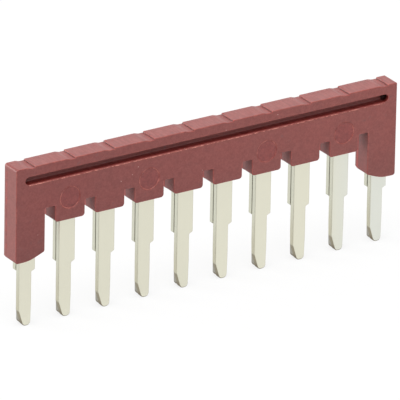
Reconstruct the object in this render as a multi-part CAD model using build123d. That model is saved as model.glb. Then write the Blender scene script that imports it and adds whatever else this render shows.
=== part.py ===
from build123d import *
import math
import os

# Plug-in jumper bar for a row of terminal blocks: one moulded housing cast round two stamped contact combs.
# Millimetres. +X runs along the bar, -Y is the grooved front face, +Z is up.
# The origin is the middle of the bar, in the plane of the contact tips.

# Row of poles
POLE_COUNT = 10
PITCH = 5.2
END_MARGIN = 1.85

# Contact combs: two equal leaves, back to back
LEAF_THICKNESS = 0.64
TINE_WIDTH = 2.1
SHOULDER_STEP = 0.47
SHOULDER_RISE = 0.22
SHOULDER_HEIGHT = 6.66
SHOULDER_RADIUS = 0.15
NECK_TAPER = 0.08
NECK_TAPER_HEIGHT = 3.2
NECK_BLEND_RADIUS = 3.0
LEAD_HEIGHT = 1.94
LEAD_INSET = 0.58
LEAD_BLEND_RADIUS = 0.35
TIP_RADIUS = 0.48
TIP_EDGE_RADIUS = 0.45
ROOT_SPREAD = 0.14
TIP_SPREAD = 0.19
OUTER_ROLL_RADIUS = 0.1
INNER_ROLL_RADIUS = 0.03
COMB_SPINE_HEIGHT = 2.3

# Housing: skin before and behind the combs, then heights from the shoulders up
SKIN = 0.635
LEG_ABOVE_SHOULDER = 1.36
LEG_LENGTH = 4.01
STUB_LENGTH = 2.02
SPINE_FLOOR = 0.525
GROOVE_FLOOR = 0.46
GROOVE_HEIGHT = 0.925
RIM_HEIGHT = 1.14

# Housing: gaps between the stubs, groove and round marks in the front face
STUB_GAP = 1.34
GROOVE_END_MARGIN = 1.175
GROOVE_BACK_WALL = 1.65
GROOVE_ROOT_RADIUS = 0.2
GROOVE_MOUTH_RADIUS = 0.06
MARK_DIAMETER = 2.7
MARK_DEPTH = 0.05
MARK_RISE = 0.615
MARKED_POLES = (2, 4, 7, 9)

# Housing: notches across the top, legs' feet, corners and edges
NOTCH_LEFT = 0.55
NOTCH_RIGHT = 0.65
NOTCH_DEPTH = 0.15
NOTCH_GENTLE_RUN = 0.55
NOTCH_STEEP_RUN = 0.05
NOTCH_BLEND_RADIUS = 0.6
FOOT_SLOPE_WIDTH = 2.0
FOOT_SLOPE_RISE = 0.8
FOOT_RADIUS = 4.5
FOOT_CORNER_RADIUS = 0.3
HEEL_DEPTH = 0.52
HEEL_RISE = 0.28
LEG_CORNER_RADIUS = 0.3
STUB_CORNER_RADIUS = 0.38
GAP_CORNER_RADIUS = 0.12
TOP_LEFT_RADIUS = 0.3
TOP_RIGHT_RADIUS = 0.15
EDGE_RADIUS = 0.07

# Slack for picking edges that lie in a plane
IN_PLANE = 0.01

# Values that follow from them
HALF_TINE = TINE_WIDTH / 2
NECK_RIGHT = HALF_TINE - SHOULDER_STEP
END_POLE_X = (POLE_COUNT - 1) * PITCH / 2
HALF_LENGTH = END_POLE_X + END_MARGIN
HALF_STUB = (PITCH - STUB_GAP) / 2
THICKNESS = 2 * (LEAF_THICKNESS + SKIN)
LEG_BOTTOM_Z = SHOULDER_HEIGHT + LEG_ABOVE_SHOULDER
STUB_BOTTOM_Z = LEG_BOTTOM_Z + LEG_LENGTH
GAP_TOP_Z = STUB_BOTTOM_Z + STUB_LENGTH
SPINE_BOTTOM_Z = GAP_TOP_Z + SPINE_FLOOR
SPINE_TOP_Z = SPINE_BOTTOM_Z + COMB_SPINE_HEIGHT
GROOVE_BOTTOM_Z = SPINE_TOP_Z + GROOVE_FLOOR
GROOVE_TOP_Z = GROOVE_BOTTOM_Z + GROOVE_HEIGHT
TOP_Z = GROOVE_TOP_Z + RIM_HEIGHT
BEND_Z = (STUB_BOTTOM_Z + GAP_TOP_Z) / 2


def pole_x(number):
    """Middle of a pole, numbered from 1 at the left end."""
    return (number - 1) * PITCH - END_POLE_X


def rounded_face(corners):
    """Face inside a closed outline given as (point, corner radius) pairs."""
    points = [point for point, _ in corners]
    radii = [radius for _, radius in corners]
    return make_face(FilletPolyline(*points, radius=radii, close=True))


def upright(face, depth):
    """Solid swept from a face drawn in X and Z, centred on the middle plane."""
    return extrude(Plane.XZ * face, depth / 2, both=True)


def punched_edges(face):
    """Edges of a tine's broad face that the punch cut, so none of the straight ones along its bends."""
    bends = (BEND_Z, STUB_BOTTOM_Z)
    return [edge for edge in face.edges() if all(abs(edge.center().Z - z) > IN_PLANE for z in bends)]


# Contact combs

def tine_face():
    """Outline of one tine: straight left edge, shoulder on the right, slanted lead-in to a round tip."""
    root_z = SPINE_BOTTOM_Z + COMB_SPINE_HEIGHT / 2
    return rounded_face([
        ((-HALF_TINE, root_z), 0),
        ((-HALF_TINE, LEAD_HEIGHT), LEAD_BLEND_RADIUS),
        ((-HALF_TINE + LEAD_INSET, 0), TIP_EDGE_RADIUS),
        ((NECK_RIGHT - NECK_TAPER, 0), TIP_RADIUS),
        ((NECK_RIGHT, NECK_TAPER_HEIGHT), NECK_BLEND_RADIUS),
        ((NECK_RIGHT, SHOULDER_HEIGHT - SHOULDER_RISE), SHOULDER_RADIUS),
        ((HALF_TINE, SHOULDER_HEIGHT), SHOULDER_RADIUS),
        ((HALF_TINE, root_z), 0),
    ])


def comb_blank():
    """Comb outline swept through more than its thickness: a spine with a tine at each pole."""
    spine = Rectangle(2 * (END_POLE_X + HALF_TINE), COMB_SPINE_HEIGHT)
    face = Pos(0, (SPINE_BOTTOM_Z + SPINE_TOP_Z) / 2) * spine
    tine = tine_face()
    for number in range(1, POLE_COUNT + 1):
        face += Pos(pole_x(number), 0) * tine
    return upright(face, 2 * (LEAF_THICKNESS + TIP_SPREAD))


def strip(filled=False):
    """The leaf's strip seen from its end: upright, then bent forward in the stub and again below it.

    Filled, it takes in the room between the leaf and the middle plane as well.
    """
    leans = ((0, SPINE_TOP_Z), (0, BEND_Z), (ROOT_SPREAD / 2, STUB_BOTTOM_Z), (TIP_SPREAD / 2, 0))
    inner = [(0, SPINE_TOP_Z), (0, 0)] if filled else [(-lean, z) for lean, z in leans]
    outer = [(-lean - LEAF_THICKNESS, z) for lean, z in reversed(leans)]
    section = Polyline(*inner, *outer, close=True)
    return extrude(Plane.YZ * make_face(section), HALF_LENGTH, both=True)


def contact_comb():
    """Front comb: the blank cut to its strip, the punched edges of the bare tines rolled over."""
    comb = comb_blank() & strip()
    for direction, radius in ((-1, OUTER_ROLL_RADIUS), (1, INNER_ROLL_RADIUS)):
        broad = [face for face in comb.faces() if face.normal_at().Y * direction > 0.99]
        tines = [face for face in broad if face.center().Z < BEND_Z]
        rolled = [edge for face in tines for edge in punched_edges(face)]
        comb = fillet(rolled, radius)
    return comb


def comb_cavity():
    """Room that the front comb takes in the housing, filled to the middle plane."""
    return comb_blank() & strip(filled=True)


# Housing

def leg_corners(side):
    """Corners under an end leg, from its outer side inward: level foot, then a slope to the inner side."""
    end_x = side * HALF_LENGTH
    inner_x = side * (END_POLE_X - HALF_STUB)
    return [
        ((end_x, LEG_BOTTOM_Z), LEG_CORNER_RADIUS),
        ((inner_x + side * FOOT_SLOPE_WIDTH, LEG_BOTTOM_Z), FOOT_RADIUS),
        ((inner_x, LEG_BOTTOM_Z + FOOT_SLOPE_RISE), FOOT_CORNER_RADIUS),
        ((inner_x, GAP_TOP_Z), GAP_CORNER_RADIUS),
    ]


def stub_corners(number):
    """Corners of one stub and of the gap tops beside it, from left to right."""
    left = pole_x(number) - HALF_STUB
    right = pole_x(number) + HALF_STUB
    return [
        ((left, GAP_TOP_Z), GAP_CORNER_RADIUS),
        ((left, STUB_BOTTOM_Z), STUB_CORNER_RADIUS),
        ((right, STUB_BOTTOM_Z), STUB_CORNER_RADIUS),
        ((right, GAP_TOP_Z), GAP_CORNER_RADIUS),
    ]


def notch_corners(number):
    """Corners of the shallow notch in the top over a pole, from its steep right to its gentle left wall."""
    right = pole_x(number) + NOTCH_RIGHT
    left = pole_x(number) - NOTCH_LEFT
    floor_z = TOP_Z - NOTCH_DEPTH
    return [
        ((right, TOP_Z), 0),
        ((right - NOTCH_STEEP_RUN, floor_z), 0),
        ((left + NOTCH_GENTLE_RUN, floor_z), NOTCH_BLEND_RADIUS),
        ((left, TOP_Z), NOTCH_BLEND_RADIUS),
    ]


def housing_face():
    """Outline of the housing in X and Z, once round from the top left corner down."""
    corners = [((-HALF_LENGTH, TOP_Z), TOP_LEFT_RADIUS)]
    corners += leg_corners(-1)
    for number in range(2, POLE_COUNT):
        corners += stub_corners(number)
    corners += reversed(leg_corners(1))
    corners += [((HALF_LENGTH, TOP_Z), TOP_RIGHT_RADIUS)]
    for number in range(POLE_COUNT, 0, -1):
        corners += notch_corners(number)
    return rounded_face(corners)


def heel(side):
    """What comes off the back bottom edge of an end leg: the room under its foot, swept back and up."""
    (outer_x, foot_z), (knee_x, _), (inner_x, slope_z) = [point for point, _ in leg_corners(side)[:3]]
    low_z = foot_z - FOOT_SLOPE_RISE
    under_foot = rounded_face([
        ((outer_x + side * HEEL_DEPTH, low_z), 0),
        ((outer_x + side * HEEL_DEPTH, foot_z), 0),
        ((knee_x, foot_z), FOOT_RADIUS),
        ((2 * inner_x - knee_x, 2 * slope_z - foot_z), 0),
        ((2 * inner_x - knee_x, low_z), 0),
    ])
    face = Plane.XZ.offset(HEEL_DEPTH - THICKNESS / 2) * under_foot
    return extrude(face, 2 * math.hypot(HEEL_DEPTH, HEEL_RISE), dir=(0, HEEL_DEPTH, HEEL_RISE))


def groove():
    """Long round-ended groove in the front face, its root rounded."""
    depth = THICKNESS - GROOVE_BACK_WALL
    slot = SlotOverall(2 * (HALF_LENGTH - GROOVE_END_MARGIN), GROOVE_HEIGHT)
    tool = extrude(Plane.XZ * slot, depth)
    tool = fillet(tool.edges().group_by(Axis.Y)[-1], GROOVE_ROOT_RADIUS)
    return Pos(0, -THICKNESS / 2 + depth, (GROOVE_BOTTOM_Z + GROOVE_TOP_Z) / 2) * tool


def groove_mouth(body):
    """Edges round the groove where it opens in the front face."""
    middle_z = (GROOVE_BOTTOM_Z + GROOVE_TOP_Z) / 2
    reach = GROOVE_HEIGHT / 2 + IN_PLANE
    in_front = [edge for edge in body.edges() if abs(edge.center().Y + THICKNESS / 2) < IN_PLANE]
    return [edge for edge in in_front if abs(edge.center().Z - middle_z) < reach]


def mark():
    """Shallow round recess with a sloping rim, as a pin of the mould leaves it."""
    radius = MARK_DIAMETER / 2
    cone = Cone(radius, radius - MARK_DEPTH, MARK_DEPTH, align=(Align.CENTER, Align.CENTER, Align.MIN))
    return Pos(0, -THICKNESS / 2, 0) * Rot(-90, 0, 0) * cone


def build_housing():
    """Moulded housing with everything that is cut from it."""
    body = upright(housing_face(), THICKNESS)
    broad = [face for face in body.faces() if abs(face.normal_at().Y) > 0.99]
    body = fillet([edge for face in broad for edge in face.edges()], EDGE_RADIUS)
    body -= heel(-1)
    body -= heel(1)
    body -= groove()
    body = fillet(groove_mouth(body), GROOVE_MOUTH_RADIUS)
    for number in MARKED_POLES:
        body -= Pos(pole_x(number), 0, GAP_TOP_Z + MARK_RISE) * mark()
    cavity = comb_cavity()
    body -= cavity
    body -= Rot(0, 0, 180) * cavity
    return body


def main():
    """Write each piece of the bar to its own file."""
    front = contact_comb()
    pieces = {
        "housing": build_housing(),
        "front_contact_comb": front,
        "rear_contact_comb": Rot(0, 0, 180) * front,
    }
    os.makedirs("parts", exist_ok=True)
    for name, solid in pieces.items():
        export_step(solid, f"parts/{name}.step")


if __name__ == "__main__":
    main()
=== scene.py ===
import logging
import math
from dataclasses import dataclass
from enum import Enum
from typing import Any, Mapping, Sequence

import bpy
import numpy as np
from mathutils import Matrix, Vector


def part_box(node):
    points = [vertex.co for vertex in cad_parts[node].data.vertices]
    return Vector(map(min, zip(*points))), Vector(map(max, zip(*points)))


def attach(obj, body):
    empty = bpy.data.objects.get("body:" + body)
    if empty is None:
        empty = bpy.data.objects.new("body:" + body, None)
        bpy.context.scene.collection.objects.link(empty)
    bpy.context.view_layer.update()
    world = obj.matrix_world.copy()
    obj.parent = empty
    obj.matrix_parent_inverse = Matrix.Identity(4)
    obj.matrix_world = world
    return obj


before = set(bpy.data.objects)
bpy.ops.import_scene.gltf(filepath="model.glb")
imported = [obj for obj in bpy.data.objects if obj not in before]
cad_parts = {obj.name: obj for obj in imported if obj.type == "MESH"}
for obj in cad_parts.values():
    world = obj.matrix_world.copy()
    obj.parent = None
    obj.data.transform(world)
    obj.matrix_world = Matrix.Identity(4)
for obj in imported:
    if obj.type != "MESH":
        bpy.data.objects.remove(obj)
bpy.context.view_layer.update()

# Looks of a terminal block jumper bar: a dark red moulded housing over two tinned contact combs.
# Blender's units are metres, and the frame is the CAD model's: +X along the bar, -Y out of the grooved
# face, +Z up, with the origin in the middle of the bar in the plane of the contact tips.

MM = 0.001
PER_MM = 1000.0

log = logging.getLogger("jumper_bar")

# A Corner is (x, z, radius) of an outline, and a Band is the two ends of a range, such as an eased step's.
Colour = tuple[float, float, float, float]
Tint = tuple[float, float, float]
Point = tuple[float, float, float]
Corner = tuple[float, float, float]
Band = tuple[float, float]

WHITE: Colour = (1.0, 1.0, 1.0, 1.0)
RIDGE_BAND: Band = (0.03, 0.34)
OCCLUSION_SAMPLES = 8
BEAD_POINTS = 10
SHARPEST_RADIUS = 1e-3
FIRST_WAVE = 3
MEAN_HEIGHT = 0.6
HEIGHT_SPREAD = 0.28
HEIGHT_LIMITS: Band = (0.2, 1.0)


# Shader maths


class Maths(Enum):
    """Operations of the Math node."""

    ADD = "ADD"
    SUBTRACT = "SUBTRACT"
    MULTIPLY = "MULTIPLY"
    LARGER = "MAXIMUM"
    SMALLER = "MINIMUM"
    SIZE = "ABSOLUTE"


class Ray(Enum):
    """Kinds of ray that Light Path tells apart."""

    CAMERA = "Is Camera Ray"
    GLOSSY = "Is Glossy Ray"
    THROUGH = "Is Transmission Ray"


@dataclass(frozen=True)
class Waves:
    """A noise: its waves to the millimetre, the octaves of finer noise and how strong those are."""

    scale: float
    detail: float = 2.0
    roughness: float = 0.5


@dataclass(frozen=True)
class Specks:
    """Specks, one possible in each cell: cells to the millimetre, radius and chance in a cell, strength."""

    scale: float
    radius: float
    chance: float
    strength: float


@dataclass(frozen=True)
class Relief:
    """A bump: its strength, and its height in millimetres."""

    strength: float
    height: float


class Value:
    """An output socket of a material, with shader maths written as Python operators."""

    def __init__(self, graph: "Graph", socket: bpy.types.NodeSocket) -> None:
        """Wraps a socket.

        Args:
            graph: the node tree that new nodes are added to.
            socket: the output that this value stands for.
        """
        self.graph = graph
        self.socket = socket

    def _maths(self, operation: Maths, first: Any, second: Any) -> "Value":
        """Adds a Math node and returns its result."""
        return self.graph.node("ShaderNodeMath", {"operation": operation.value}, {0: first, 1: second})

    def __add__(self, other: Any) -> "Value":
        """This value plus another."""
        return self._maths(Maths.ADD, self, other)

    def __radd__(self, other: Any) -> "Value":
        """Another value plus this one."""
        return self._maths(Maths.ADD, other, self)

    def __sub__(self, other: Any) -> "Value":
        """This value less another."""
        return self._maths(Maths.SUBTRACT, self, other)

    def __rsub__(self, other: Any) -> "Value":
        """Another value less this one."""
        return self._maths(Maths.SUBTRACT, other, self)

    def __mul__(self, other: Any) -> "Value":
        """This value times another."""
        return self._maths(Maths.MULTIPLY, self, other)

    def __rmul__(self, other: Any) -> "Value":
        """Another value times this one."""
        return self._maths(Maths.MULTIPLY, other, self)

    def at_least(self, floor: Any) -> "Value":
        """The larger of this value and another."""
        return self._maths(Maths.LARGER, self, floor)

    def at_most(self, ceiling: float) -> "Value":
        """The smaller of this value and a number."""
        return self._maths(Maths.SMALLER, self, ceiling)

    def size(self) -> "Value":
        """This value without its sign."""
        return self._maths(Maths.SIZE, self, 0.0)


class Graph:
    """The node tree of one material or world."""

    def __init__(self, tree: bpy.types.NodeTree) -> None:
        """Empties a node tree and takes it over.

        Args:
            tree: the tree of a material or of the world.
        """
        self.tree = tree
        tree.nodes.clear()

    def node(
        self,
        kind: str,
        settings: Mapping[str, Any] | None = None,
        inputs: Mapping[int | str, Any] | None = None,
        output: int | str = 0,
    ) -> Value:
        """Adds a node, sets it up, fills its sockets and returns one of its outputs.

        Args:
            kind: the node's type, such as ShaderNodeMath.
            settings: the node's attributes, which are set first.
            inputs: a number, a tuple or a Value for each socket named by its index or its name.
            output: the index or name of the output to return.

        Returns:
            The chosen output.
        """
        made = self.tree.nodes.new(kind)
        for name, setting in (settings or {}).items():
            setattr(made, name, setting)
        for key, given in (inputs or {}).items():
            if isinstance(given, Value):
                self.tree.links.new(given.socket, made.inputs[key])
            else:
                made.inputs[key].default_value = given
        return Value(self, made.outputs[output])

    def step(self, value: Value, low: float, high: float) -> Value:
        """A value eased from 0 at low to 1 at high."""
        inputs = {"Value": value, "From Min": low, "From Max": high}
        return self.node("ShaderNodeMapRange", {"interpolation_type": "SMOOTHSTEP"}, inputs)

    def noise(self, place: Value, waves: Waves) -> Value:
        """Noise about zero, from -1 to 1, at a place in millimetres."""
        inputs = {"Scale": waves.scale, "Detail": waves.detail, "Roughness": waves.roughness}
        return (self.node("ShaderNodeTexNoise", {}, {"Vector": place, **inputs}) - 0.5) * 2.0

    def blend(self, factor: Value | float, first: Any, second: Any) -> Value:
        """Two colours mixed by a factor.

        Args:
            factor: share of the second colour.
            first: a colour, as a tuple or a Value.
            second: a colour, as a tuple or a Value.

        Returns:
            The mixed colour.
        """
        settings = {"data_type": "RGBA", "blend_type": "MIX", "clamp_factor": True}
        return self.node("ShaderNodeMix", settings, {0: factor, 6: first, 7: second}, 2)

    def position(self) -> Value:
        """The place on the object in millimetres, as a vector."""
        place = self.node("ShaderNodeTexCoord", output="Object")
        return self.scaled(place, PER_MM)

    def scaled(self, vector: Any, amount: Value | float) -> Value:
        """A vector or colour times a number."""
        return self.node("ShaderNodeVectorMath", {"operation": "SCALE"}, {0: vector, "Scale": amount})

    def stretched(self, vector: Any, by: Any) -> Value:
        """A vector or colour times another, number by number."""
        return self.node("ShaderNodeVectorMath", {"operation": "MULTIPLY"}, {0: vector, 1: by})

    def distance(self, place: Value, point: Point) -> Value:
        """How far a place is from a point."""
        return self.node("ShaderNodeVectorMath", {"operation": "DISTANCE"}, {0: place, 1: point}, "Value")

    def axes(self, vector: Value) -> tuple[Value, Value, Value]:
        """The three numbers of a vector."""
        parts = self.node("ShaderNodeSeparateXYZ", {}, {0: vector}).socket.node.outputs
        return Value(self, parts[0]), Value(self, parts[1]), Value(self, parts[2])

    def facing(self) -> tuple[Value, Value, Value]:
        """The three numbers of the surface's own normal."""
        return self.axes(self.node("ShaderNodeNewGeometry", output="True Normal"))

    def ridge(self, reach: float) -> Value:
        """1 on an outward edge, falling to 0 at a reach from it in millimetres."""
        return self.step(self._shut_in(reach, True), *RIDGE_BAND)

    def hollow(self, reach: float) -> Value:
        """1 deep in a hollow, 0 where nothing stands within a reach in millimetres."""
        return self._shut_in(reach, False)

    def _shut_in(self, reach: float, inside: bool) -> Value:
        """How far the piece's own surface closes a place in, seen from within the solid or from outside."""
        settings = {"inside": inside, "only_local": True, "samples": OCCLUSION_SAMPLES}
        return 1.0 - self.node("ShaderNodeAmbientOcclusion", settings, {"Distance": reach * MM}, "AO")

    def specks(self, place: Value, kind: Specks) -> Value:
        """Small round specks scattered over the surface.

        Args:
            place: the position in millimetres.
            kind: their spacing, size, chance and strength.

        Returns:
            The strength in a speck, 0 elsewhere.
        """
        cell = self.node("ShaderNodeTexVoronoi", {}, {"Vector": place, "Scale": kind.scale}, "Distance")
        drawn, _, _ = self.axes(Value(self, cell.socket.node.outputs["Color"]))
        near = 1.0 - self.step(cell, 0.5 * kind.radius, kind.radius)
        return kind.strength * (near * self.step(drawn, 1.0 - kind.chance, 1.0 - 0.9 * kind.chance))

    def relief(self, height: Value, kind: Relief) -> Value:
        """The surface's normal, turned by a bump."""
        inputs = {"Strength": kind.strength, "Distance": kind.height * MM, "Height": height}
        return self.node("ShaderNodeBump", {}, inputs)

    def surface(self, colour: Value, roughness: Value, normal: Value, fixed: Mapping[str, float]) -> Value:
        """A Principled shader.

        Args:
            colour: its base colour.
            roughness: its roughness.
            normal: its normal.
            fixed: constants of other sockets, by name.

        Returns:
            The shader.
        """
        varied = {"Base Color": colour, "Roughness": roughness, "Normal": normal}
        return self.node("ShaderNodeBsdfPrincipled", {}, {**varied, **fixed})

    def close(self, shader: Value, target: str = "ShaderNodeOutputMaterial") -> None:
        """Leads a shader to the tree's output."""
        end = self.tree.nodes.new(target)
        self.tree.links.new(shader.socket, end.inputs["Surface"])


def new_material(name: str) -> tuple[bpy.types.Material, Graph]:
    """Makes a material with an empty node tree.

    Args:
        name: the material's name.

    Returns:
        The material and its graph.
    """
    material = bpy.data.materials.new(name)
    material.use_nodes = True
    return material, Graph(material.node_tree)


# The bar's driving sizes


@dataclass(frozen=True)
class Row:
    """The row of poles that the housing and the combs are laid out on, in millimetres."""

    poles: int = 10
    pitch: float = 5.2
    marked: tuple[int, ...] = (2, 4, 7, 9)
    mark_radius: float = 1.35
    mark_z: float = 14.665
    half_stub: float = 1.93
    stub_bottom: float = 12.03
    gap_top: float = 14.05
    groove_ends: float = 24.075
    groove_bottom: float = 17.335
    groove_top: float = 18.26
    groove_wall: float = -0.375
    foot: float = 8.02

    def x(self, number: int) -> float:
        """Middle of a pole, numbered from 1 at the left end."""
        return (number - (self.poles + 1) / 2) * self.pitch

    def mark(self, number: int) -> Point:
        """Middle of the round mark at a pole, in the plane y = 0."""
        return (self.x(number), 0.0, self.mark_z)


# Finishes


@dataclass(frozen=True)
class MouldedPlastic:
    """Dull dark red plastic from a spark-eroded mould: grain, mottling, fibre specks and redder edges.

    Its colour carries painted highlights on the edges, painted shade low down, on the left, in the groove
    and in inner corners, and painted light and sheen on the right, on the end faces and in the groove.
    Fields that end in shade, share or rough are weights, as are the painted-shade weights. Lengths are in
    millimetres.
    """

    row: Row
    name: str = "moulded_red_plastic"
    base: Colour = (0.167, 0.0158, 0.0108, 1.0)
    # Edge colours: redder edges partly from wear, their pale stretches a painted highlight.
    edge_red: Colour = (0.300, 0.027, 0.018, 1.0)
    edge_highlight: Colour = (0.430, 0.110, 0.075, 1.0)
    pale: Colour = (0.50, 0.36, 0.33, 1.0)
    grey: Colour = (0.085, 0.030, 0.032, 1.0)
    # Colour of the painted shade in the groove and in the inner corners.
    painted_shade: Colour = (0.012, 0.006, 0.006, 1.0)
    # Painted shade: front faces darker towards the foot.
    foot_painted_shade: Tint = (0.84, 0.84, 0.84)
    # Painted light across the front faces: darker on the left, lighter and hazier on the right.
    left_painted_shade: Tint = (0.94, 0.88, 0.88)
    right_painted_light: Tint = (1.09, 1.40, 1.45)
    # Painted sheen: end faces greyer and lighter, as grazing gloss makes them.
    end_painted_sheen: Tint = (1.03, 1.45, 1.50)
    disc_tint: Tint = (0.98, 0.60, 0.61)
    # Painted light in the groove: shade on its walls, sheen on its deep floor, reddened light near its
    # mouth.
    groove_wall_painted_shade: Tint = (0.89, 0.66, 0.64)
    groove_floor_painted_sheen: Tint = (1.15, 1.60, 1.90)
    groove_mouth_painted_light: Tint = (1.00, 0.50, 0.45)
    # Painted shade: inner corners darker and redder.
    hollow_painted_shade: Tint = (0.70, 0.40, 0.45)
    roughness: float = 0.50
    specular: float = 0.75
    cloud: Waves = Waves(0.35, 3.0)
    mottle: Waves = Waves(1.8, 3.0, 0.6)
    grain: Waves = Waves(4.5, 3.0, 0.7)
    blotches: Waves = Waves(1.1, 2.0)
    # Noise of the painted highlight's pale stretches along the edges.
    wear: Waves = Waves(0.9, 3.0, 0.6)
    cutter: Waves = Waves(3.2, 2.0)
    cutter_stretch: Point = (1.0, 0.12, 1.0)
    pale_specks: Specks = Specks(1.3, 0.09, 0.13, 0.70)
    grey_specks: Specks = Specks(1.7, 0.09, 0.10, 0.60)
    relief: Relief = Relief(0.5, 0.006)
    mottle_relief: float = 0.6
    cloud_shade: float = 0.09
    mottle_shade: float = 0.16
    grain_shade: float = 0.26
    disc_grain: float = 0.30
    streak_shade: float = 0.30
    blotch_share: float = 0.40
    blotch_band: Band = (0.30, 0.62)
    frost_share: float = 0.045
    frost_band: Band = (-0.45, 0.55)
    frost_mottle: float = 0.5
    frost_streaks: float = 1.2
    uneven_rough: float = 0.05
    edge_rough: float = 0.25
    edge_reach: float = 0.11
    edge_mean: float = 0.82
    edge_least: float = 0.15
    # Share and band of the painted highlight on the edges.
    edge_highlight_share: float = 0.65
    edge_highlight_band: Band = (-0.25, 0.45)
    lip_band: Band = (0.08, 0.20)
    lip_spared: float = 0.75
    hollow_reach: float = 0.20
    corner_band: Band = (0.10, 0.36)
    # Weights of the painted shade in the inner corners, over the groove and at its right end.
    corner_painted_shade: float = 0.62
    groove_painted_shade: float = 0.06
    spot_painted_shade: float = 0.80
    spot_radius: float = 0.50
    spot_flat: float = 0.5
    spot_soft: float = 0.15
    spot_inset: float = 0.05
    faced: Band = (0.5, 0.9)
    topmost: Band = (0.6, 0.9)
    endmost: Band = (0.8, 0.95)
    end_depth: float = 0.5
    fade_top: float = 15.0
    front_y: float = -1.2
    mouth: Band = (0.15, 0.55)
    border: float = 0.1
    disc_soft: float = 0.08

    def material(self) -> bpy.types.Material:
        """Builds the finish.

        Returns:
            The material.
        """
        made, graph = new_material(self.name)
        place = graph.position()
        cloud = graph.noise(place, self.cloud)
        mottle = graph.noise(place, self.mottle)
        grain = graph.noise(place, self.grain)
        discs = self._discs(graph, place)
        streaks = self._streaks(graph, place)
        shade = 1.0 + self.cloud_shade * cloud + self.mottle_shade * mottle
        shade = shade + (self.grain_shade + self.disc_grain * discs) * grain + self.streak_shade * streaks
        colour = self._body(graph, place, discs)
        # Redder outward edges, partly wear and partly painted highlight.
        edges = self._edge_wear_and_highlight(graph, place, mottle)
        colour = graph.blend(edges, colour, self._edge_and_highlight_colour(graph, place))
        blotches = graph.step(graph.noise(place, self.blotches), *self.blotch_band)
        colour = graph.blend(self.blotch_share * blotches, colour, self.grey)
        colour = graph.scaled(colour, shade)
        frost = grain + self.frost_mottle * mottle + self.frost_streaks * streaks
        colour = graph.blend(self.frost_share * graph.step(frost, *self.frost_band), colour, self.pale)
        colour = graph.blend(graph.specks(place, self.pale_specks), colour, self.pale)
        colour = graph.blend(graph.specks(place, self.grey_specks), colour, self.grey)
        rough = self.roughness + self.uneven_rough * mottle + self.uneven_rough * cloud
        rough = rough + self.edge_rough * edges
        normal = graph.relief(grain + self.mottle_relief * mottle, self.relief)
        clean = graph.surface(colour, rough, normal, {"Specular IOR Level": self.specular})
        # Painted shade: a dark matt shader mixed in over the groove, its right end and the inner corners.
        painted_shade = graph.node("ShaderNodeBsdfDiffuse", {}, {"Color": self.painted_shade})
        graph.close(graph.node("ShaderNodeMixShader", {}, {0: self._painted_shade_share(graph, place), 1: clean, 2: painted_shade}))
        return made

    def _body(self, graph: Graph, place: Value, discs: Value) -> Value:
        """Colour of the broad surfaces: redder in the marks, with painted shade towards the foot, on the
        left, on the groove's walls and in the hollows, and painted light and sheen on the right, on the end
        faces and on the groove's floor.

        Args:
            graph: the material's graph.
            place: the position in millimetres.
            discs: 1 inside the round marks.

        Returns:
            The colour.
        """
        x, _, z = graph.axes(place)
        across, along, up = graph.facing()
        half = self.row.groove_ends
        ahead = graph.step(0.0 - along, *self.faced)
        rightward = graph.step(x, -half, half)
        low = 1.0 - graph.step(z, self.row.foot, self.fade_top)
        # Mask of the end faces, which get the painted sheen.
        outer = graph.step(across.size(), *self.endmost) * graph.step(x.size(), half, half + self.end_depth)
        inside, near = self._groove(graph, place)
        floor = inside * graph.step(up, *self.faced)
        tints = (
            # Painted light across the front faces: darker on the left, lighter and hazier on the right.
            (ahead * (1.0 - rightward), self.left_painted_shade),
            (ahead * rightward, self.right_painted_light),
            # Painted shade: front faces darker towards the foot.
            (ahead * low, self.foot_painted_shade),
            # Painted sheen on the end faces.
            (outer, self.end_painted_sheen),
            (discs, self.disc_tint),
            # Painted light in the groove: shade on its walls, sheen on its deep floor, reddened light near
            # its mouth.
            (inside - floor, self.groove_wall_painted_shade),
            (floor * (1.0 - near), self.groove_floor_painted_sheen),
            (floor * near, self.groove_mouth_painted_light),
            # Painted shade in the inner corners outside the groove.
            (self._corners(graph) * (1.0 - inside), self.hollow_painted_shade),
        )
        colour: Any = self.base[:3]
        for share, tint in tints:
            colour = graph.stretched(colour, graph.blend(share, WHITE, (*tint, 1.0)))
        return colour

    def _groove(self, graph: Graph, place: Value) -> tuple[Value, Value]:
        """Where the lever groove is.

        Args:
            graph: the material's graph.
            place: the position in millimetres.

        Returns:
            1 inside the groove, and 1 near its mouth.
        """
        x, y, z = graph.axes(place)
        low, high = self.row.groove_bottom, self.row.groove_top
        ends, wall = self.row.groove_ends, self.row.groove_wall
        near, deep = (self.front_y + depth for depth in self.mouth)
        level = graph.step(z, low - self.border, low) * (1.0 - graph.step(z, high, high + self.border))
        level = level * (1.0 - graph.step(x.size(), ends, ends + self.border))
        inside = level * graph.step(y, self.front_y, near)
        inside = inside * (1.0 - graph.step(y, wall + self.border, wall + 2 * self.border))
        return inside, 1.0 - graph.step(y, near, deep)

    def _corners(self, graph: Graph) -> Value:
        """1 in the sharp inner corners, 0 on open surfaces."""
        return graph.step(graph.hollow(self.hollow_reach), *self.corner_band)

    def _painted_shade_share(self, graph: Graph, place: Value) -> Value:
        """Painted shade: a dark spot at the groove's right end, a little over the whole groove, and more in
        the inner corners.

        Args:
            graph: the material's graph.
            place: the position in millimetres.

        Returns:
            The share of painted shade.
        """
        inside, _ = self._groove(graph, place)
        middle = (self.row.groove_bottom + self.row.groove_top) / 2
        corner = (self.row.groove_ends - self.spot_inset, self.row.groove_wall, middle * self.spot_flat)
        away = graph.distance(graph.stretched(place, (1.0, 1.0, self.spot_flat)), corner)
        spot = 1.0 - graph.step(away, self.spot_radius - self.spot_soft, self.spot_radius + self.spot_soft)
        corners = self.corner_painted_shade * self._corners(graph) * (1.0 - inside)
        return inside * (self.groove_painted_shade + self.spot_painted_shade * spot) + corners

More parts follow.
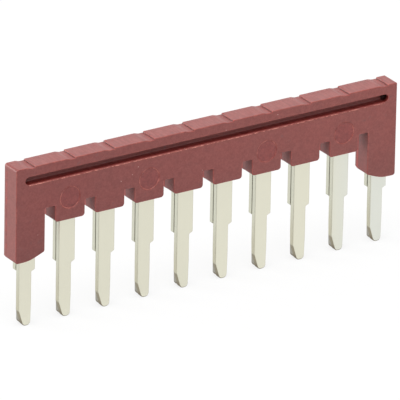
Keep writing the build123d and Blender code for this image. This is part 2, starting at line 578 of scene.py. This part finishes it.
    def _discs(self, graph: Graph, place: Value) -> Value:
        """Where the round marks of the front face are.

        Args:
            graph: the material's graph.
            place: the position in millimetres.

        Returns:
            1 inside a mark, 0 elsewhere.
        """
        flat = graph.stretched(place, (1.0, 0.0, 1.0))
        radius = self.row.mark_radius
        inside: Any = 0.0
        for number in self.row.marked:
            away = graph.distance(flat, self.row.mark(number))
            inside = inside + (1.0 - graph.step(away, radius - self.disc_soft, radius))
        _, y, _ = graph.axes(place)
        return inside * (1.0 - graph.step(y, self.front_y, self.front_y + self.border))

    def _streaks(self, graph: Graph, place: Value) -> Value:
        """Faint streaks across the top, as the cutter left them in the mould."""
        lines = graph.noise(graph.stretched(place, self.cutter_stretch), self.cutter)
        return lines * graph.step(graph.facing()[2], *self.topmost)

    def _edge_wear_and_highlight(self, graph: Graph, place: Value, mottle: Value) -> Value:
        """Share of the edge colour on the outward edges, partly wear and partly painted highlight: broken
        along them, and least on the groove's lower lip.

        Args:
            graph: the material's graph.
            place: the position in millimetres.
            mottle: the noise that breaks it up.

        Returns:
            The share of the edge colour.
        """
        x, _, z = graph.axes(place)
        ends = self.row.groove_ends
        lip = 1.0 - graph.step((z - self.row.groove_bottom).size(), *self.lip_band)
        lip = lip * (1.0 - graph.step(x.size(), ends, ends + self.border))
        worn = (self.edge_mean + mottle).at_least(self.edge_least).at_most(1.0)
        return graph.ridge(self.edge_reach) * worn * (1.0 - self.lip_spared * lip)

    def _edge_and_highlight_colour(self, graph: Graph, place: Value) -> Value:
        """Edge colour: saturated red, with paler stretches that are a painted highlight."""
        patches = graph.step(graph.noise(place, self.wear), *self.edge_highlight_band)
        return graph.blend(self.edge_highlight_share * patches, self.edge_red, self.edge_highlight)


@dataclass(frozen=True)
class ThinFlash:
    """Thin skin of plastic squeezed out between two mould halves: it comes and goes along its length. On the
    groove's burr and the mark rings its second colour is a painted highlight.
    """

    name: str
    base: Colour
    fresh: Colour
    patches: Waves = Waves(1.1, 3.0, 0.7)
    band: Band = (-0.15, 0.30)
    gap_top: float = 0.0
    half_length: float = 0.0
    top: float = 0.0
    specular: float = 0.5
    roughness: float = 0.50
    grain: Waves = Waves(6.0, 2.0, 0.6)
    relief: Relief = Relief(0.4, 0.005)
    grain_shade: float = 0.2
    grain_rough: float = 0.06
    gap_share: float = 0.70
    gap_band: Band = (0.3, 0.6)
    gap_border: float = 0.1
    worn_share: float = 0.45
    end_share: float = 0.45
    end_band: Band = (0.05, 0.2)
    top_spared: float = 0.85
    top_depth: Band = (0.4, 0.2)

    def material(self) -> bpy.types.Material:
        """Builds the finish.

        Returns:
            The material.
        """
        made, graph = new_material(self.name)
        place = graph.position()
        grain = graph.noise(place, self.grain)
        share = graph.step(graph.noise(place, self.patches), *self.band)
        if self.gap_top > 0:
            share = self._kept(graph, place, share)
        colour = graph.scaled(graph.blend(share, self.base, self.fresh), 1.0 + self.grain_shade * grain)
        rough = self.roughness + self.grain_rough * grain
        normal = graph.relief(grain, self.relief)
        graph.close(graph.surface(colour, rough, normal, {"Specular IOR Level": self.specular}))
        return made

    def _kept(self, graph: Graph, place: Value, share: Value) -> Value:
        """Fresh colour along a parting line: most in the gaps, in patches at the ends, faint on the top.

        Args:
            graph: the material's graph.
            place: the position in millimetres.
            share: the patches, 1 in a fresh one.

        Returns:
            Share of the fresh colour.
        """
        x, _, z = graph.axes(place)
        inward = self.half_length - x.size()
        below = 1.0 - graph.step(z, self.gap_top - self.gap_border, self.gap_top + self.gap_border)
        sheltered = below * graph.step(inward, *self.gap_band)
        worn = self.worn_share + self.end_share * (1.0 - graph.step(inward, *self.end_band))
        deep, shallow = self.top_depth
        worn = worn * (1.0 - self.top_spared * graph.step(z, self.top - deep, self.top - shallow))
        return (self.gap_share * sheltered).at_least(share * worn)


@dataclass(frozen=True)
class MattTin:
    """Matt warm-white tin plating on stamped strip, thinner and browner where the punch sheared it, with
    painted shade on the sides, low down, at the tips and between the leaves, and painted light towards the
    right end.
    """

    name: str = "matt_tin"
    face: Colour = (0.768, 0.752, 0.623, 1.0)
    # Sheared sides: bare cut metal, with painted shade as well.
    side: Colour = (0.560, 0.560, 0.465, 1.0)
    # Painted shade: sides darker towards the bottom.
    side_low_painted_shade: Colour = (0.500, 0.480, 0.370, 1.0)
    rolled: Colour = (0.570, 0.560, 0.450, 1.0)
    # Painted shade on the sides near the tips.
    tip_side_painted_shade: Colour = (0.335, 0.322, 0.280, 1.0)
    # Lead-ins and tip ends: browner cut metal, with painted shade as well.
    lead_in_cut_and_shade: Colour = (0.295, 0.262, 0.182, 1.0)
    tip_end_cut_and_shade: Colour = (0.140, 0.105, 0.060, 1.0)
    # Painted shade: inner faces a little darker between the leaves.
    inner: Colour = (0.700, 0.690, 0.575, 1.0)
    # Painted light: plating whiter towards the right end.
    cool_painted_light: Tint = (0.975, 1.015, 1.115)
    cool_band: Band = (14.0, 21.0)
    roughness: float = 0.42
    cloud: Waves = Waves(0.8, 3.0)
    grain: Waves = Waves(7.0, 3.0, 0.6)
    relief: Relief = Relief(0.3, 0.003)
    cloud_shade: float = 0.015
    grain_shade: float = 0.025
    cloud_rough: float = 0.03
    rolled_reach: float = 0.13
    rolled_share: float = 0.85
    sheared: Band = (0.55, 0.85)
    side_band: Band = (1.5, 8.0)
    side_cloud: float = 0.8
    lead_band: Band = (1.69, 1.99)
    lead_cloud: float = 0.15
    slanted: Band = (0.12, 0.24)
    tip_band: Band = (0.25, 0.95)
    tip_share: float = 0.75
    downmost: Band = (0.35, 0.85)
    inmost: Band = (0.0, 0.03)
    broad: Band = (0.7, 0.9)

    def material(self) -> bpy.types.Material:
        """Builds the finish.

        Returns:
            The material.
        """
        made, graph = new_material(self.name)
        place = graph.position()
        cloud = graph.noise(place, self.cloud)
        grain = graph.noise(place, self.grain)
        shade = 1.0 + self.cloud_shade * cloud + self.grain_shade * grain
        colour = graph.scaled(self._plating(graph, place, cloud), shade)
        rough = self.roughness + self.cloud_rough * cloud
        graph.close(graph.surface(colour, rough, graph.relief(grain, self.relief), {"Metallic": 1.0}))
        return made

    def _plating(self, graph: Graph, place: Value, cloud: Value) -> Value:
        """Colour by the kind of surface: broad face, rolled edge, sheared side, lead-in, tip or inner face,
        with painted shade on the sides, tips and inner faces and painted light towards the right.

        Args:
            graph: the material's graph.
            place: the position in millimetres.
            cloud: slow noise that makes the borders uneven.

        Returns:
            The colour.
        """
        x, y, z = graph.axes(place)
        across, along, up = graph.facing()
        sheared = graph.step(across.size(), *self.sheared)
        # Painted shade: sides darker towards the bottom.
        lower = 1.0 - graph.step(z + self.side_cloud * cloud, *self.side_band)
        low = 1.0 - graph.step(z + self.lead_cloud * cloud, *self.lead_band)
        slanted = graph.step(0.0 - up, *self.slanted) * low
        end = graph.step(0.0 - up, *self.downmost) * low
        inward = graph.step(0.0 - y * along, *self.inmost) * graph.step(along.size(), *self.broad)
        coats = (
            # Painted light: plating whiter towards the right end.
            (graph.step(x, *self.cool_band), graph.stretched(self.face[:3], self.cool_painted_light)),
            (self.rolled_share * graph.ridge(self.rolled_reach), self.rolled),
            # Sheared sides, with painted shade lower down.
            (sheared, graph.blend(lower, self.side, self.side_low_painted_shade)),
            # Painted shade on the sides near the tips.
            (sheared * low, self.tip_side_painted_shade),
            # Lead-ins and tip ends: browner cut metal and painted shade.
            (slanted, self.lead_in_cut_and_shade),
            (self.tip_share * (slanted * (1.0 - graph.step(z, *self.tip_band))), self.tip_end_cut_and_shade),
            (end, self.tip_end_cut_and_shade),
            # Painted shade on the inner faces between the leaves.
            (inward * (1.0 - end), self.inner),
        )
        colour: Any = self.face
        for share, coat in coats:
            colour = graph.blend(share, colour, coat)
        return colour


@dataclass(frozen=True)
class WhiteFloor:
    """Plain white floor that the camera and the gloss see near white, with a soft shadow left on it."""

    name: str = "white_floor"
    base: Colour = (0.82, 0.82, 0.82, 1.0)
    glow: float = 0.86
    glow_strength: float = 0.948

    def material(self) -> bpy.types.Material:
        """Builds the finish.

        Returns:
            The material.
        """
        made, graph = new_material(self.name)
        matt = graph.node("ShaderNodeBsdfDiffuse", {}, {"Color": self.base})
        white = graph.node("ShaderNodeEmission", {}, {"Color": WHITE, "Strength": self.glow_strength})
        share = self.glow * seen_directly(graph)
        graph.close(graph.node("ShaderNodeMixShader", {}, {0: share, 1: matt, 2: white}))
        return made


def seen_directly(graph: Graph) -> Value:
    """Tells camera, glossy and transmission rays from the rest.

    Args:
        graph: the graph of the material or the world.

    Returns:
        1 for those rays, 0 for the rest.
    """
    total = graph.node("ShaderNodeLightPath", output=Ray.CAMERA.value)
    outputs = total.socket.node.outputs
    for ray in (Ray.GLOSSY, Ray.THROUGH):
        total = total + Value(graph, outputs[ray.value])
    return total.at_most(1.0)


# Surfaces


def rounded_outline(corners: Sequence[Corner], steps: int = 7) -> np.ndarray:
    """Closed outline with its corners turned into arcs.

    A corner C has unit directions a and b to the corners before and after it, and h is half the angle
    between them. The arc of radius r that touches both sides has its centre on the middle line, r / sin h
    from C, and touches them r / tan h from C. Its points are swept from one touching point to the other.

    Args:
        corners: the corners, in order.
        steps: points on each arc.

    Returns:
        The outline's points, two columns.
    """
    table = np.array(corners, dtype=float)
    points = table[:, :2]
    radius = np.maximum(table[:, 2:], SHARPEST_RADIUS)
    before = unit(np.roll(points, 1, axis=0) - points)
    after = unit(np.roll(points, -1, axis=0) - points)
    half = np.arccos(np.clip((before * after).sum(axis=1, keepdims=True), -1.0, 1.0)) / 2
    centre = points + unit(before + after) * radius / np.sin(half)
    start = points + before * radius / np.tan(half) - centre
    end = points + after * radius / np.tan(half) - centre
    turn = (math.pi - 2 * half)[:, None]
    share = np.linspace(0.0, 1.0, steps)[None, :, None]
    arcs = (np.sin((1 - share) * turn) * start[:, None] + np.sin(share * turn) * end[:, None]) / np.sin(turn)
    return (centre[:, None] + arcs).reshape(-1, 2)


def unit(vectors: np.ndarray) -> np.ndarray:
    """Vectors brought to length 1, row by row."""
    return vectors / np.linalg.norm(vectors, axis=-1, keepdims=True)


def evenly(outline: np.ndarray, step: float) -> np.ndarray:
    """Points at an even step along a closed outline: X and Z read off against the length run so far.

    Args:
        outline: its points, two columns.
        step: the length between two new points.

    Returns:
        The new points, two columns.
    """
    closed = np.vstack([outline, outline[:1]])
    along = np.concatenate([[0.0], np.cumsum(np.linalg.norm(np.diff(closed, axis=0), axis=1))])
    places = np.arange(0.0, along[-1], step)
    return np.stack([np.interp(places, along, closed[:, axis]) for axis in (0, 1)], axis=1)


def uneven(count: int, waves: int, seed: int) -> np.ndarray:
    """Smooth random heights along a path, kept within HEIGHT_LIMITS.

    They are the sum of whole waves along the path, from FIRST_WAVE of them up to one less than the given
    number, each with a random phase and a size that falls with the square root of its number.

    Args:
        count: points on the path.
        waves: one more than the finest wave's number.
        seed: seed of the random phases.

    Returns:
        One height for each point.
    """
    numbers = np.arange(FIRST_WAVE, waves)
    phases = np.random.default_rng(seed).uniform(0.0, 2 * math.pi, len(numbers))
    turns = np.linspace(0.0, 2 * math.pi, count, endpoint=False)
    total = (np.sin(np.outer(turns, numbers) + phases) / np.sqrt(numbers)).sum(axis=1)
    return np.clip(MEAN_HEIGHT + HEIGHT_SPREAD * total / total.std(), *HEIGHT_LIMITS)


def bead(
    path: np.ndarray,
    across: np.ndarray,
    outward: np.ndarray,
    half: float | np.ndarray,
    tall: np.ndarray,
    sunk: float = 0.06,
) -> np.ndarray:
    """Bead of elliptical section along a path, its lower half sunk in what it lies on.

    A point of the bead is the path's point + across * half * cos(turn) + outward * reach * sin(turn), where
    reach is the bead's height above the surface and its depth below it.

    Args:
        path: points of the path, three columns, in millimetres.
        across: unit vectors across the path in the surface.
        outward: unit vectors out of the surface.
        half: half the bead's width, one for all points or one for each.
        tall: the bead's height at each point.
        sunk: the bead's depth in the surface.

    Returns:
        A grid of points: along the path, round the bead, three columns.
    """
    turn = np.linspace(0.0, 2 * math.pi, BEAD_POINTS, endpoint=False)[None, :, None]
    width = np.broadcast_to(half, len(path))[:, None, None]
    sideways = across[:, None] * width * np.cos(turn)
    reach = np.where(np.sin(turn) > 0, tall[:, None, None], sunk)
    return path[:, None] + sideways + outward[:, None] * reach * np.sin(turn)


def flat_normals(outline: np.ndarray, joined: bool = True) -> np.ndarray:
    """Unit vectors square to a flat outline: the tangent between the neighbours, turned a quarter.

    Args:
        outline: its points, two columns.
        joined: whether it closes on itself.

    Returns:
        One vector for each point, two columns.
    """
    ring = np.roll(outline, -1, axis=0) - np.roll(outline, 1, axis=0)
    tangent = unit(ring if joined else np.gradient(outline, axis=0))
    return np.stack([tangent[:, 1], -tangent[:, 0]], axis=1)


def upright_plane(flat: np.ndarray, y: float) -> np.ndarray:
    """Points or vectors of the plane X and Z, given a third number along Y."""
    return np.stack([flat[:, 0], np.full(len(flat), y), flat[:, 1]], axis=1)


def ring_piece(name: str, grid: np.ndarray, material: bpy.types.Material, joined: bool = True) -> None:
    """Makes a smooth closed mesh of rings of points, one after another along a path, riding on the bar.

    Args:
        name: the piece's name.
        grid: points in millimetres: along the path, round the ring, three columns.
        material: its material.
        joined: whether the last ring joins the first; otherwise both ends get a lid.
    """
    along, around = grid.shape[:2]
    index = np.arange(along * around).reshape(along, around)
    ahead = np.roll(index, -1, axis=0)
    quads = np.stack([index, ahead, np.roll(ahead, -1, axis=1), np.roll(index, -1, axis=1)], axis=-1)
    quads = quads[: along if joined else along - 1].reshape(-1, 4)
    points = grid.reshape(-1, 3) * MM
    corner = points[quads] - points.mean(axis=0)
    volume = (corner[:, 0] * np.cross(corner[:, 1], corner[:, 2] + corner[:, 3])).sum()
    lids = [] if joined else [index[0], index[-1, ::-1]]
    faces = quads.tolist() + [lid.tolist() for lid in lids]
    if volume < 0:
        faces = [face[::-1] for face in faces]
    mesh = bpy.data.meshes.new(name)
    mesh.from_pydata(points.tolist(), [], faces)
    mesh.polygons.foreach_set("use_smooth", np.ones(len(faces), dtype=bool))
    mesh.materials.append(material)
    piece = bpy.data.objects.new(name, mesh)
    bpy.context.collection.objects.link(piece)
    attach(piece, "root")
    log.info("%s: %d faces", name, len(faces))


# The pieces


@dataclass
class Housing:
    """The moulded housing, with the flash that its mould left on it. Sizes in millimetres."""

    row: Row
    node: str = "housing"
    parting_back: float = 0.46
    parting_half: float = 0.08
    gap_flash_half: float = 0.16
    parting_tall: float = 0.030
    parting_step: float = 0.12
    parting_waves: int = 260
    parting_seed: int = 3
    parting_specular: float = 0.75
    gap_rise: float = 0.1
    gap_inset: float = 0.5
    top_depth: float = 0.3
    top_share: float = 0.35
    bead_wave: int = 6
    ring_half: float = 0.040
    ring_tall: float = 0.055
    ring_inset: float = 0.075
    ring_points: int = 96
    ring_patches: Waves = Waves(0.9, 3.0, 0.7)
    ring_band: Band = (-0.30, 0.45)
    mark_depth: float = 0.05
    burr_half: float = 0.040
    burr_drop: float = 0.125
    burr_tall: float = 0.025
    burr_step: float = 0.1
    burr_seed: int = 5
    burr_patches: Waves = Waves(2.6, 3.0, 0.7)
    burr_band: Band = (-0.25, 0.30)
    plain_red: Colour = (0.180, 0.0235, 0.0180, 1.0)
    parting_dark: Colour = (0.168, 0.0250, 0.0205, 1.0)
    parting_red: Colour = (0.370, 0.038, 0.026, 1.0)
    # Pale patches of the mark rings and the groove's burr: painted highlights.
    rim_highlight: Colour = (0.450, 0.145, 0.115, 1.0)
    lip_highlight: Colour = (0.560, 0.210, 0.160, 1.0)
    notch_left: float = 0.55
    notch_right: float = 0.65
    notch_depth: float = 0.15
    notch_run: float = 0.55
    notch_slant: float = 0.05
    notch_blend: float = 0.6
    left_round: float = 0.3
    right_round: float = 0.15
    foot_round: float = 0.3
    slope_round: float = 4.5
    gap_round: float = 0.12
    stub_round: float = 0.38
    slope_width: float = 2.0
    slope_rise: float = 0.8
    heel_depth: float = 0.52
    heel_rise: float = 0.28

    def __post_init__(self) -> None:
        """Takes the housing's reach from the frame."""
        low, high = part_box(self.node)
        self.half_length = high.x * PER_MM
        self.back = high.y * PER_MM
        self.top = high.z * PER_MM
        self.foot = low.z * PER_MM

    def dress(self) -> None:
        """Gives the CAD node its finish."""
        cover(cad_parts[self.node], MouldedPlastic(self.row).material())
        log.info("%s dressed", self.node)

    def build(self) -> None:
        """Makes every piece of flash."""
        self._parting_flash()
        self._groove_burr()
        self._mark_rings()

    def _parting_flash(self) -> None:
        """Low bead where the mould's halves met, all round the housing near its back face."""
        finish = ThinFlash(
            "parting_flash_plastic",
            self.parting_dark,
            self.parting_red,
            gap_top=self.row.gap_top,
            half_length=self.half_length,
            top=self.top,
            specular=self.parting_specular,
        )
        y = self.back - self.parting_back
        outline = evenly(rounded_outline(self._outline(y)), self.parting_step)
        path = upright_plane(outline, y)
        outward = upright_plane(flat_normals(outline), 0.0)
        across = np.tile((0.0, 1.0, 0.0), (len(path), 1))
        tall = self.parting_tall * uneven(len(path), self.parting_waves, self.parting_seed)
        tall = np.where(outline[:, 1] > self.top - self.top_depth, self.top_share * tall, tall)
        below = outline[:, 1] < self.row.gap_top + self.gap_rise
        sheltered = below & (abs(outline[:, 0]) < self.half_length - self.gap_inset)
        half = np.where(sheltered, self.gap_flash_half, self.parting_half)
        grid = bead(path, across, outward, half, tall)
        ring_piece("parting_flash", grid, finish.material())

    def _groove_burr(self) -> None:
        """Fine burr along the lower lip of the lever groove, its pale patches a painted highlight."""
        finish = ThinFlash("burr_plastic", self.plain_red, self.lip_highlight, self.burr_patches, self.burr_band)
        radius = (self.row.groove_top - self.row.groove_bottom) / 2
        reach = self.row.groove_ends - radius
        along = np.arange(-reach, reach, self.burr_step)
        outline = np.stack([along, np.full(len(along), self.row.groove_bottom - self.burr_drop)], axis=1)
        size = (self.burr_half, self.burr_tall)
        self._front_bead("groove_burr", outline, -self.back, *size, self.burr_seed, finish.material(), False)

    def _mark_rings(self) -> None:
        """Fine raised ring round each mark that a mould pin left, its pale patches a painted highlight."""
        finish = ThinFlash("ring_plastic", self.plain_red, self.rim_highlight, self.ring_patches, self.ring_band)
        material = finish.material()
        turn = np.linspace(0.0, 2 * math.pi, self.ring_points, endpoint=False)
        circle = (self.row.mark_radius - self.ring_inset) * np.stack([np.cos(turn), np.sin(turn)], axis=1)
        for number in self.row.marked:
            outline = circle + (self.row.x(number), self.row.mark_z)
            name = f"mark_ring_{number}"
            floor = self.mark_depth - self.back
            self._front_bead(name, outline, floor, self.ring_half, self.ring_tall, number, material)

    def _front_bead(
        self,
        name: str,
        outline: np.ndarray,
        y: float,
        half: float,
        tall: float,
        seed: int,
        material: bpy.types.Material,
        joined: bool = True,
    ) -> None:
        """Lays a bead of uneven height along an outline on the front face.

        Args:
            name: the piece's name.
            outline: its path in X and Z.
            y: where the surface under it lies.
            half: half its width.
            tall: its greatest height.
            seed: seed of its unevenness.
            material: its material.
            joined: whether the outline closes on itself.
        """
        path = upright_plane(outline, y)
        across = upright_plane(flat_normals(outline, joined), 0.0)
        outward = np.tile((0.0, -1.0, 0.0), (len(path), 1))
        heights = tall * uneven(len(path), len(path) // self.bead_wave, seed)
        ring_piece(name, bead(path, across, outward, half, heights), material, joined)

    def _outline(self, y: float) -> list[Corner]:
        """Corners of the housing's outline, once round.

        Args:
            y: its plane.

        Returns:
            The corners.
        """
        bevel = max(0.0, y - (self.back - self.heel_depth)) * self.heel_rise / self.heel_depth
        corners = [(-self.half_length, self.top, self.left_round)] + self._leg(-1, bevel)
        for number in range(2, self.row.poles):
            corners += self._stub(number)
        corners += self._leg(1, bevel)[::-1] + [(self.half_length, self.top, self.right_round)]
        for number in range(self.row.poles, 0, -1):
            corners += self._notch(number)
        return corners

    def _leg(self, side: int, bevel: float) -> list[Corner]:
        """Corners under an end leg.

        Args:
            side: -1 for the left leg, 1 for the right one.
            bevel: how far the heel bevel lifts its foot.

        Returns:
            The corners, from the outer side inward.
        """
        inner = side * (self.row.x(self.row.poles) - self.row.half_stub)
        foot = self.foot + bevel
        return [
            (side * self.half_length, foot, self.foot_round),
            (inner + side * self.slope_width, foot, self.slope_round),
            (inner, foot + self.slope_rise, self.foot_round),
            (inner, self.row.gap_top, self.gap_round),
        ]

    def _stub(self, number: int) -> list[Corner]:
        """Corners of one stub and of the gap tops beside it.

        Args:
            number: its pole.

        Returns:
            The corners, from left to right.
        """
        left = self.row.x(number) - self.row.half_stub
        right = self.row.x(number) + self.row.half_stub
        return [
            (left, self.row.gap_top, self.gap_round),
            (left, self.row.stub_bottom, self.stub_round),
            (right, self.row.stub_bottom, self.stub_round),
            (right, self.row.gap_top, self.gap_round),
        ]

    def _notch(self, number: int) -> list[Corner]:
        """Corners of the shallow notch in the top over a pole.

        Args:
            number: the pole.

        Returns:
            The corners, from right to left.
        """
        right = self.row.x(number) + self.notch_right
        left = self.row.x(number) - self.notch_left
        floor = self.top - self.notch_depth
        return [
            (right, self.top, 0.0),
            (right - self.notch_slant, floor, 0.0),
            (left + self.notch_run, floor, self.notch_blend),
            (left, self.top, self.notch_blend),
        ]


@dataclass
class ContactCombs:
    """The two stamped combs, back to back."""

    finish: MattTin = MattTin()
    nodes: tuple[str, str] = ("front_contact_comb", "rear_contact_comb")

    def dress(self) -> None:
        """Gives both CAD nodes their finish."""
        material = self.finish.material()
        for node in self.nodes:
            cover(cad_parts[node], material)
            log.info("%s dressed", node)


def cover(piece: bpy.types.Object, material: bpy.types.Material) -> None:
    """Puts one material in every slot of a piece."""
    for place in piece.material_slots:
        place.material = material


# Studio


@dataclass(frozen=True)
class Lamp:
    """A soft square lamp that looks at the bar, placed and sized in metres."""

    name: str
    place: Point
    side: float
    watts: float


@dataclass
class Studio:
    """White floor, grey-white surroundings and soft lamps."""

    target: Vector
    floor_half: float = 3.0
    surroundings: float = 0.80
    lamps: tuple[Lamp, ...] = (
        Lamp("overhead_lamp", (-0.10, -0.10, 0.60), 0.45, 3.9),
        Lamp("left_lamp", (-0.48, 0.50, 0.13), 0.25, 2.5),
        Lamp("back_lamp", (0.35, 0.60, 0.30), 0.60, 0.7),
    )

    def build(self) -> None:
        """Lays the floor, hangs the lamps and sets the surroundings."""
        self._floor()
        for lamp in self.lamps:
            self._hang(lamp)
        self._surround()
        bpy.context.scene.view_settings.view_transform = "Standard"
        log.info("studio ready, %d lamps", len(self.lamps))

    def _floor(self) -> None:
        """One square in the plane of the contact tips."""
        half = self.floor_half
        corners = [(-half, -half, 0.0), (half, -half, 0.0), (half, half, 0.0), (-half, half, 0.0)]
        mesh = bpy.data.meshes.new("floor")
        mesh.from_pydata(corners, [], [(0, 1, 2, 3)])
        mesh.materials.append(WhiteFloor().material())
        piece = bpy.data.objects.new("floor", mesh)
        bpy.context.collection.objects.link(piece)

    def _hang(self, lamp: Lamp) -> None:
        """Hangs one lamp, turned to the bar.

        Args:
            lamp: the lamp.
        """
        light = bpy.data.lights.new(lamp.name, "AREA")
        light.size = lamp.side
        light.energy = lamp.watts
        piece = bpy.data.objects.new(lamp.name, light)
        piece.location = lamp.place
        towards = self.target - Vector(lamp.place)
        piece.rotation_euler = towards.to_track_quat("-Z", "Y").to_euler()
        bpy.context.collection.objects.link(piece)

    def _surround(self) -> None:
        """White for what is seen directly, grey for the light that it gives."""
        world = bpy.data.worlds.new("surroundings")
        bpy.context.scene.world = world
        world.use_nodes = True
        graph = Graph(world.node_tree)
        grey = graph.node("ShaderNodeBackground", {}, {"Color": WHITE, "Strength": self.surroundings})
        white = graph.node("ShaderNodeBackground", {}, {"Color": WHITE, "Strength": 1.0})
        mixed = graph.node("ShaderNodeMixShader", {}, {0: seen_directly(graph), 1: grey, 2: white})
        graph.close(mixed, "ShaderNodeOutputWorld")


@dataclass(frozen=True)
class PhotoCamera:
    """The photograph's view: a long lens to the front left of the bar and above it.

    yaw, elevation and roll are in degrees, target and distance in millimetres, clip in metres, and focal_px
    is the focal length in pixels of a frame that is frame_px wide.
    """

    yaw: float = 32.767
    elevation: float = 23.446
    roll: float = 1.066
    distance: float = 1075.41
    focal_px: float = 9560.26
    frame_px: float = 400.0
    target: Point = (-0.223, 0.0, 9.948)
    sensor_mm: float = 36.0
    clip: Band = (0.05, 20.0)

    def aim(self) -> Vector:
        """The point that the camera looks at, in metres."""
        return Vector(self.target) * MM

    def build(self) -> None:
        """Makes the camera and hands it to the scene."""
        yaw, elevation, roll = (math.radians(angle) for angle in (self.yaw, self.elevation, self.roll))
        flat = math.cos(elevation)
        back = Vector((-math.sin(yaw) * flat, -math.cos(yaw) * flat, math.sin(elevation)))
        level = Vector((math.cos(yaw), -math.sin(yaw), 0.0))
        upright = back.cross(level)
        right = math.cos(roll) * level + math.sin(roll) * upright
        up = -math.sin(roll) * level + math.cos(roll) * upright
        turn = Matrix((right, up, back)).transposed().to_4x4()
        lens = bpy.data.cameras.new("photo_camera")
        lens.sensor_width = self.sensor_mm
        lens.lens = self.focal_px / self.frame_px * self.sensor_mm
        lens.clip_start, lens.clip_end = self.clip
        camera = bpy.data.objects.new("photo_camera", lens)
        camera.matrix_world = Matrix.Translation(self.aim() + back * self.distance * MM) @ turn
        bpy.context.collection.objects.link(camera)
        bpy.context.scene.camera = camera
        log.info("camera ready, lens %.0f mm", lens.lens)


def main() -> None:
    """Dresses the bar, builds the studio and sets the camera."""
    logging.basicConfig(level=logging.INFO, format="%(name)s: %(message)s")
    housing = Housing(Row())
    housing.dress()
    housing.build()
    ContactCombs().dress()
    camera = PhotoCamera()
    Studio(camera.aim()).build()
    camera.build()


if __name__ == "__main__":
    main()
